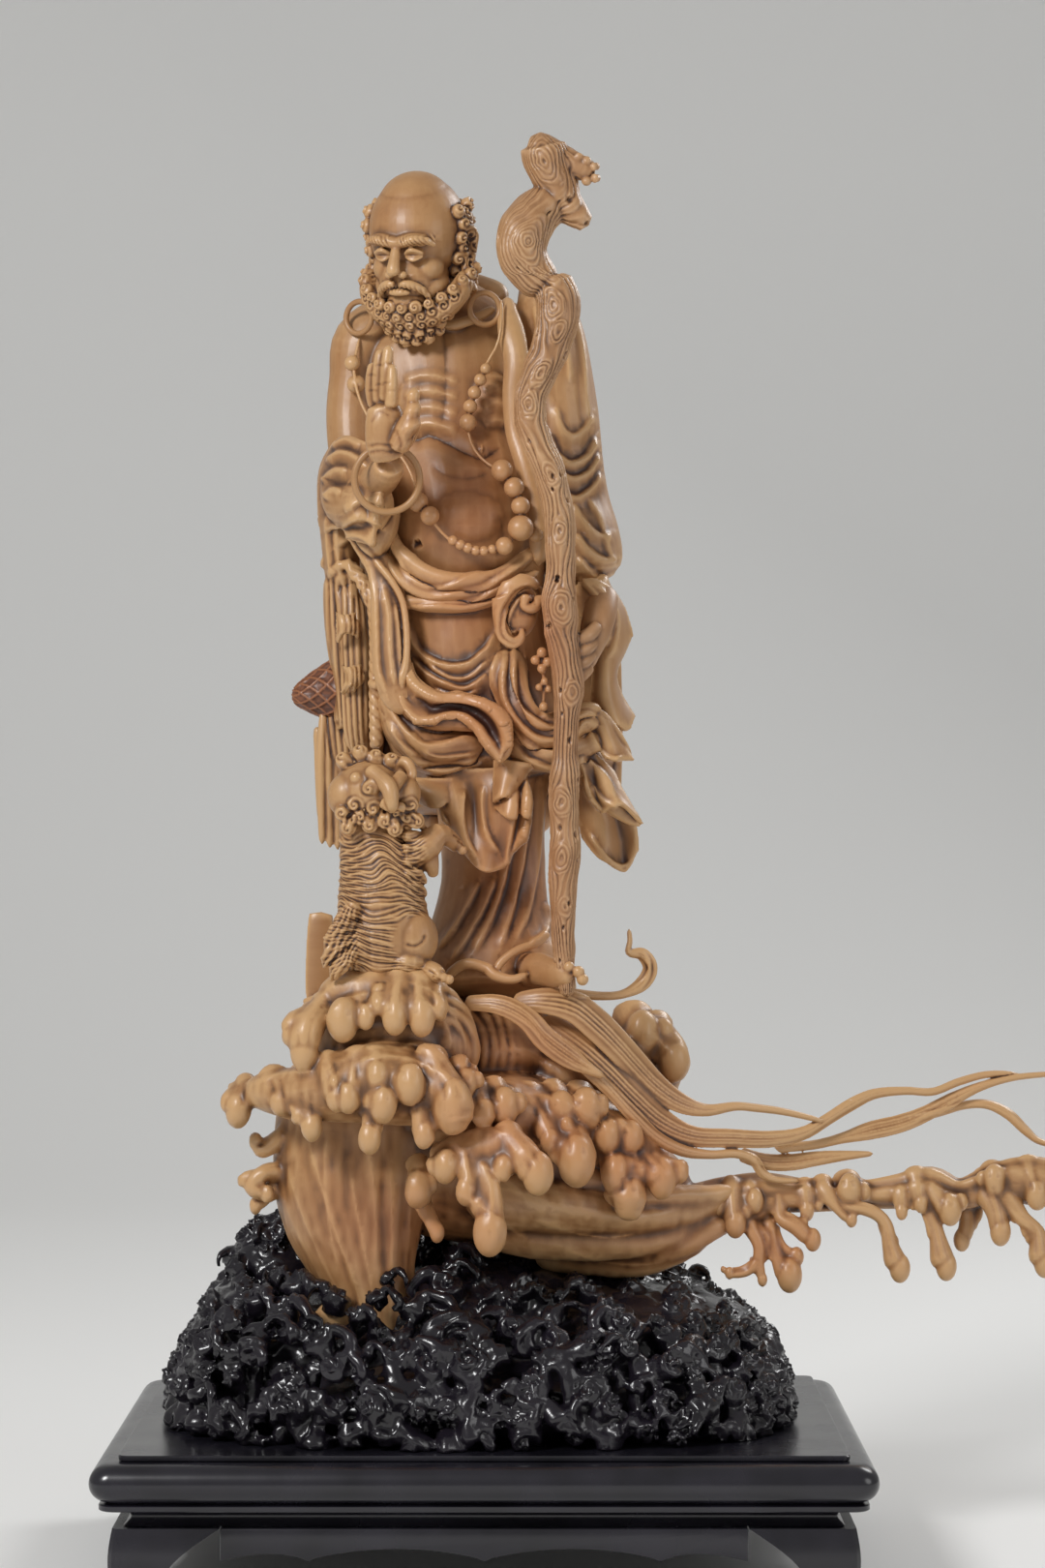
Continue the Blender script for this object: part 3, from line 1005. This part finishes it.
def board_profile():
    """Bottom to top: a fillet, a groove, a full round, a groove and the flat lip that carries the rock."""
    low = PLINTH_HEIGHT - BOARD_THICKNESS
    rows = [(BOARD_FILLET_INSET, low), (BOARD_FILLET_INSET, low + BOARD_LIP),
            (BOARD_FILLET_INSET + 0.002, low + BOARD_LIP)]
    top = PLINTH_HEIGHT - BOARD_LIP
    bottom = low + BOARD_LIP + 0.0006
    for k in range(BOARD_ROUND_STEPS + 1):
        angle = math.radians(-78 + 156 * k / BOARD_ROUND_STEPS)
        height = (bottom + top) / 2 + (top - bottom) / 2 * math.sin(angle)
        rows.append((BOARD_ROUND_REACH * (1 - math.cos(angle)), height))
    rows += [(BOARD_LIP_INSET + 0.0015, top), (BOARD_LIP_INSET, top + 0.0006),
             (BOARD_LIP_INSET, PLINTH_HEIGHT)]
    return rows


def apron(name, length, middle, turn, finish):
    """A board with a lobed lower edge, set upright between two feet."""
    bm = bmesh.new()
    top = PLINTH_HEIGHT - BOARD_THICKNESS - WAIST_HEIGHT - 2 * PIECE_GAP
    half = length / 2
    spots = [(-half, top), (half, top)]
    for k in range(APRON_STEPS + 1):
        along = 1 - 2 * k / APRON_STEPS
        lobe = APRON_LOBE * abs(math.sin(1.5 * math.pi * along)) ** 0.7
        ends = APRON_LOBE * max(0.0, abs(along) * 4 - 3) ** 1.5
        spots.append((half * along, top - APRON_HEIGHT + lobe - ends))
    verts = [bm.verts.new((x, -APRON_THICKNESS / 2, z)) for x, z in spots]
    face = bm.faces.new(verts)
    new = bmesh.ops.extrude_face_region(bm, geom=[face])["geom"]
    moved = [g for g in new if isinstance(g, bmesh.types.BMVert)]
    bmesh.ops.translate(bm, vec=(0, APRON_THICKNESS, 0), verts=moved)
    bmesh.ops.transform(bm, matrix=Matrix.Translation(middle) @ Matrix.Rotation(turn, 4, "Z"),
                        verts=bm.verts)
    return closed_item(name, bm, finish)


def foot(name, sx, sy, finish):
    """A corner foot: an angle section that swells outward at the knee and turns out at the toe."""
    bm = bmesh.new()
    top = PLINTH_HEIGHT - BOARD_THICKNESS - WAIST_HEIGHT - 2 * PIECE_GAP
    x_edge, y_edge = BOARD_WIDTH / 2 - APRON_INSET, BOARD_DEPTH / 2 - APRON_INSET
    rings = []
    for k in range(FOOT_STEPS + 1):
        share = k / FOOT_STEPS
        knee = FOOT_KNEE * math.sin(math.pi * min(1.0, share / 0.8))
        toe = FOOT_TOE * max(0.0, (share - 0.5) / 0.5) ** 2
        out = knee + toe
        reach = FOOT_SIZE - (FOOT_SIZE - FOOT_ANKLE) * math.sin(math.pi / 2 * min(1.0, share / 0.7)) + toe
        inner = out - APRON_THICKNESS
        plan = ((out, out), (-reach, out), (-reach, inner), (inner, inner), (inner, -reach),
                (out, -reach))
        height = top * (1 - share)
        rings.append([
            bm.verts.new((sx * (x_edge + px), sy * (y_edge + py), height)) for px, py in plan
        ])
    for low, high in zip(rings, rings[1:]):
        for k in range(6):
            bm.faces.new((low[k], low[(k + 1) % 6], high[(k + 1) % 6], high[k]))
    bm.faces.new(rings[0])
    bm.faces.new(rings[-1])
    return closed_item(name, bm, finish)


def model_plinth(finish):
    moulded_board("plinth_board", board_profile(), finish)
    low = PLINTH_HEIGHT - BOARD_THICKNESS - PIECE_GAP
    moulded_board("plinth_waist", [
        (WAIST_INSET + 0.002, low - WAIST_HEIGHT), (WAIST_INSET + 0.003, low - WAIST_HEIGHT * 0.6),
        (WAIST_INSET + 0.003, low - WAIST_HEIGHT * 0.4), (WAIST_INSET, low),
    ], finish)
    x_edge, y_edge = BOARD_WIDTH / 2 - APRON_INSET, BOARD_DEPTH / 2 - APRON_INSET
    long = 2 * (x_edge - FOOT_SIZE - PIECE_GAP)
    short = 2 * (y_edge - FOOT_SIZE - PIECE_GAP)
    half = APRON_THICKNESS / 2
    apron("apron_front", long, (0, -y_edge + half, 0), 0, finish)
    apron("apron_back", long, (0, y_edge - half, 0), math.pi, finish)
    apron("apron_right", short, (x_edge - half, 0, 0), math.pi / 2, finish)
    apron("apron_left", short, (-x_edge + half, 0, 0), -math.pi / 2, finish)
    for number, (sx, sy) in enumerate(((-1, -1), (1, -1), (1, 1), (-1, 1)), start=1):
        foot(f"foot_{number}", sx, sy, finish)


def stand_on_origin():
    """Moves every piece together so that the origin lies on the ground under the middle of the whole."""
    bpy.context.view_layer.update()
    spots = np.array([item.matrix_world @ v.co for item in bpy.data.objects for v in item.data.vertices])
    low, high = spots.min(0), spots.max(0)
    for item in bpy.data.objects:
        item.location += Vector((-(low[0] + high[0]) / 2, -(low[1] + high[1]) / 2, -low[2]))


clear_scene()
boxwood = material("boxwood", (0.50, 0.27, 0.11), 0.42)
black_wood = material("black_wood", (0.012, 0.010, 0.014), 0.30)
plinth_lacquer = material("plinth_lacquer", (0.010, 0.009, 0.014), 0.28)
monk_carving = model_carving(boxwood)
model_rings(monk_carving, boxwood)
model_rock(black_wood)
model_plinth(plinth_lacquer)
stand_on_origin()
